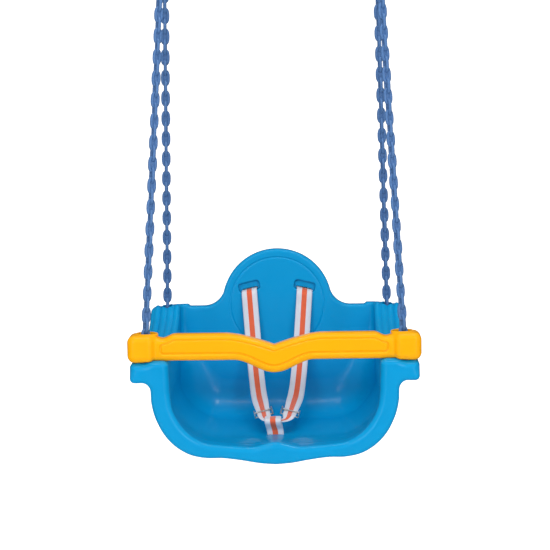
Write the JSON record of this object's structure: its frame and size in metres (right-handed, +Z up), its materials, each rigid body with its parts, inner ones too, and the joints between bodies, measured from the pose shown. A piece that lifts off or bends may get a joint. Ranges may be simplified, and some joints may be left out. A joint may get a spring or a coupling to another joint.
{
  "type": "toddler bucket swing",
  "caption": "Toddler bucket swing: moulded bucket seat with a round backrest, sliding lap bar and webbing harness, hung on coated chains gathered to a ring and snap hook on each side.",
  "frame": {"origin": "middle of the flat pad under the seat, half way between the front lip and the back", "axes": "+X across the seat, -Y towards the open front, +Z up"},
  "size_m": [0.43, 0.2919, 0.9453],
  "materials": {
    "seat_plastic": "satin moulded polyethylene",
    "bar_plastic": "satin moulded polyethylene",
    "chain_coating": "blue-grey plastic-coated steel",
    "steel": "zinc-plated",
    "webbing": "white webbing with an orange stripe"
  },
  "bodies": {
    "hangers": {"snap_hook_left": "steel", "snap_hook_right": "steel", "gate_pin_left": "steel", "gate_pin_right": "steel", "gate_spring_left": "steel", "gate_spring_right": "steel"},
    "seat": {"seat_shell": "seat_plastic", "harness_strap": "webbing", "crotch_strap": "webbing", "crotch_keeper": "steel", "strap_keeper_left": "steel", "strap_keeper_right": "steel", "ring_left": "steel", "ring_right": "steel", "chain_front_left": "chain_coating", "chain_front_right": "chain_coating", "chain_rear_left": "chain_coating", "chain_rear_right": "chain_coating", "chain_pin_front_left": "steel", "chain_pin_front_right": "steel", "chain_pin_rear_left": "steel", "chain_pin_rear_right": "steel"},
    "bar": {"lap_bar": "bar_plastic"},
    "gate_left": {"hook_gate_left": "steel"},
    "gate_right": {"hook_gate_right": "steel"},
    "glide_left": {"tri_glide_left": "steel"},
    "glide_right": {"tri_glide_right": "steel"}
  },
  "joints": [
    {"name": "swing", "type": "hinge", "parent": "hangers", "child": "seat", "pos_m": [0, 0, 0.8803], "axis": [1, 0, 0], "range_deg": [-45, 45]},
    {"name": "bar_lift", "type": "slide", "parent": "seat", "child": "bar", "axis": [0, 0.1689, 0.9856], "range_m": [0, 0.15]},
    {"name": "gate_left_open", "type": "hinge", "parent": "hangers", "child": "gate_left", "pos_m": [-0.169, 0, 0.9133], "axis": [0, -1, 0], "range_deg": [0, 22], "stiffness_Nm_per_rad": 0.02},
    {"name": "gate_right_open", "type": "hinge", "parent": "hangers", "child": "gate_right", "pos_m": [0.169, 0, 0.9133], "axis": [0, 1, 0], "range_deg": [0, 22], "stiffness_Nm_per_rad": 0.02},
    {"name": "glide_left_adjust", "type": "slide", "parent": "seat", "child": "glide_left", "axis": [-0.1302, 0.9691, 0.2097], "range_m": [0, 0.042]},
    {"name": "glide_right_adjust", "type": "slide", "parent": "seat", "child": "glide_right", "axis": [0.1302, 0.9691, 0.2097], "range_m": [0, 0.042]}
  ]
}
